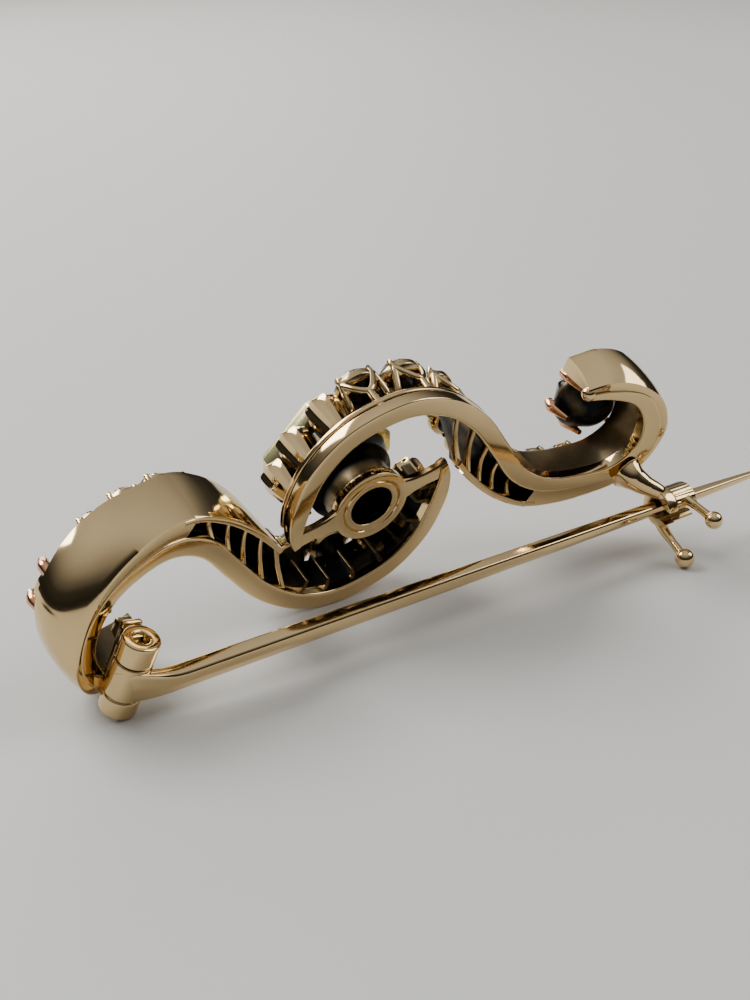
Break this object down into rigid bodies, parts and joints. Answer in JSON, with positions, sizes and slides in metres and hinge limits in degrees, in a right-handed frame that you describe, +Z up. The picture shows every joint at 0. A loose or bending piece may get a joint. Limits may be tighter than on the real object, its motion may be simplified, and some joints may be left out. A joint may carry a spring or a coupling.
{
  "type": "emerald and diamond scroll brooch",
  "caption": "Openwork gold bar brooch of two crossed scroll bands set with graduated round diamonds round a step-cut emerald, with a hinged pin and a turning-collar catch.",
  "frame": {"origin": "On the surface under the middle of the bounding box, as the brooch lies on its long lower edge", "axes": "+X along the bar from the hinge end to the pin's point, +Y towards the stones' side away from the pin, +Z up"},
  "size_m": [0.058, 0.0166, 0.0171],
  "materials": {
    "rose_gold": "polished rose-yellow gold with darkened recesses",
    "yellow_gold": "polished greener yellow gold",
    "diamond": "clear old-cut stone",
    "emerald": "clear green step-cut stone"
  },
  "bodies": {
    "brooch": {"frame": "rose_gold", "emerald_setting": "yellow_gold", "emerald": "emerald", "hinge_knuckles": "rose_gold", "hinge_rivet": "rose_gold", "catch_hook": "rose_gold", "end_diamond_left": "diamond", "end_diamond_right": "diamond", "upper_diamond_1": "diamond", "upper_diamond_2": "diamond", "upper_diamond_3": "diamond", "upper_diamond_4": "diamond", "upper_diamond_5": "diamond", "upper_diamond_6": "diamond", "upper_diamond_7": "diamond", "upper_diamond_8": "diamond", "upper_diamond_9": "diamond", "lower_diamond_1": "diamond", "lower_diamond_2": "diamond", "lower_diamond_3": "diamond", "lower_diamond_4": "diamond", "lower_diamond_5": "diamond", "lower_diamond_6": "diamond", "lower_diamond_7": "diamond", "lower_diamond_8": "diamond", "lower_diamond_9": "diamond"},
    "pin": {"pin_stem": "rose_gold"},
    "collar": {"catch_collar": "rose_gold"}
  },
  "joints": [
    {"name": "pin_hinge", "type": "hinge", "parent": "brooch", "child": "pin", "pos_m": [-0.02448, -0.00223, 0.00291], "axis": [-0.2487, 0.3233, -0.913], "range_deg": [0, 100]},
    {"name": "catch_turn", "type": "hinge", "parent": "brooch", "child": "collar", "pos_m": [0.01789, -0.00383, 0.00354], "axis": [-0.9995, 0.0105, -0.0296], "range_deg": [0, 100]}
  ]
}
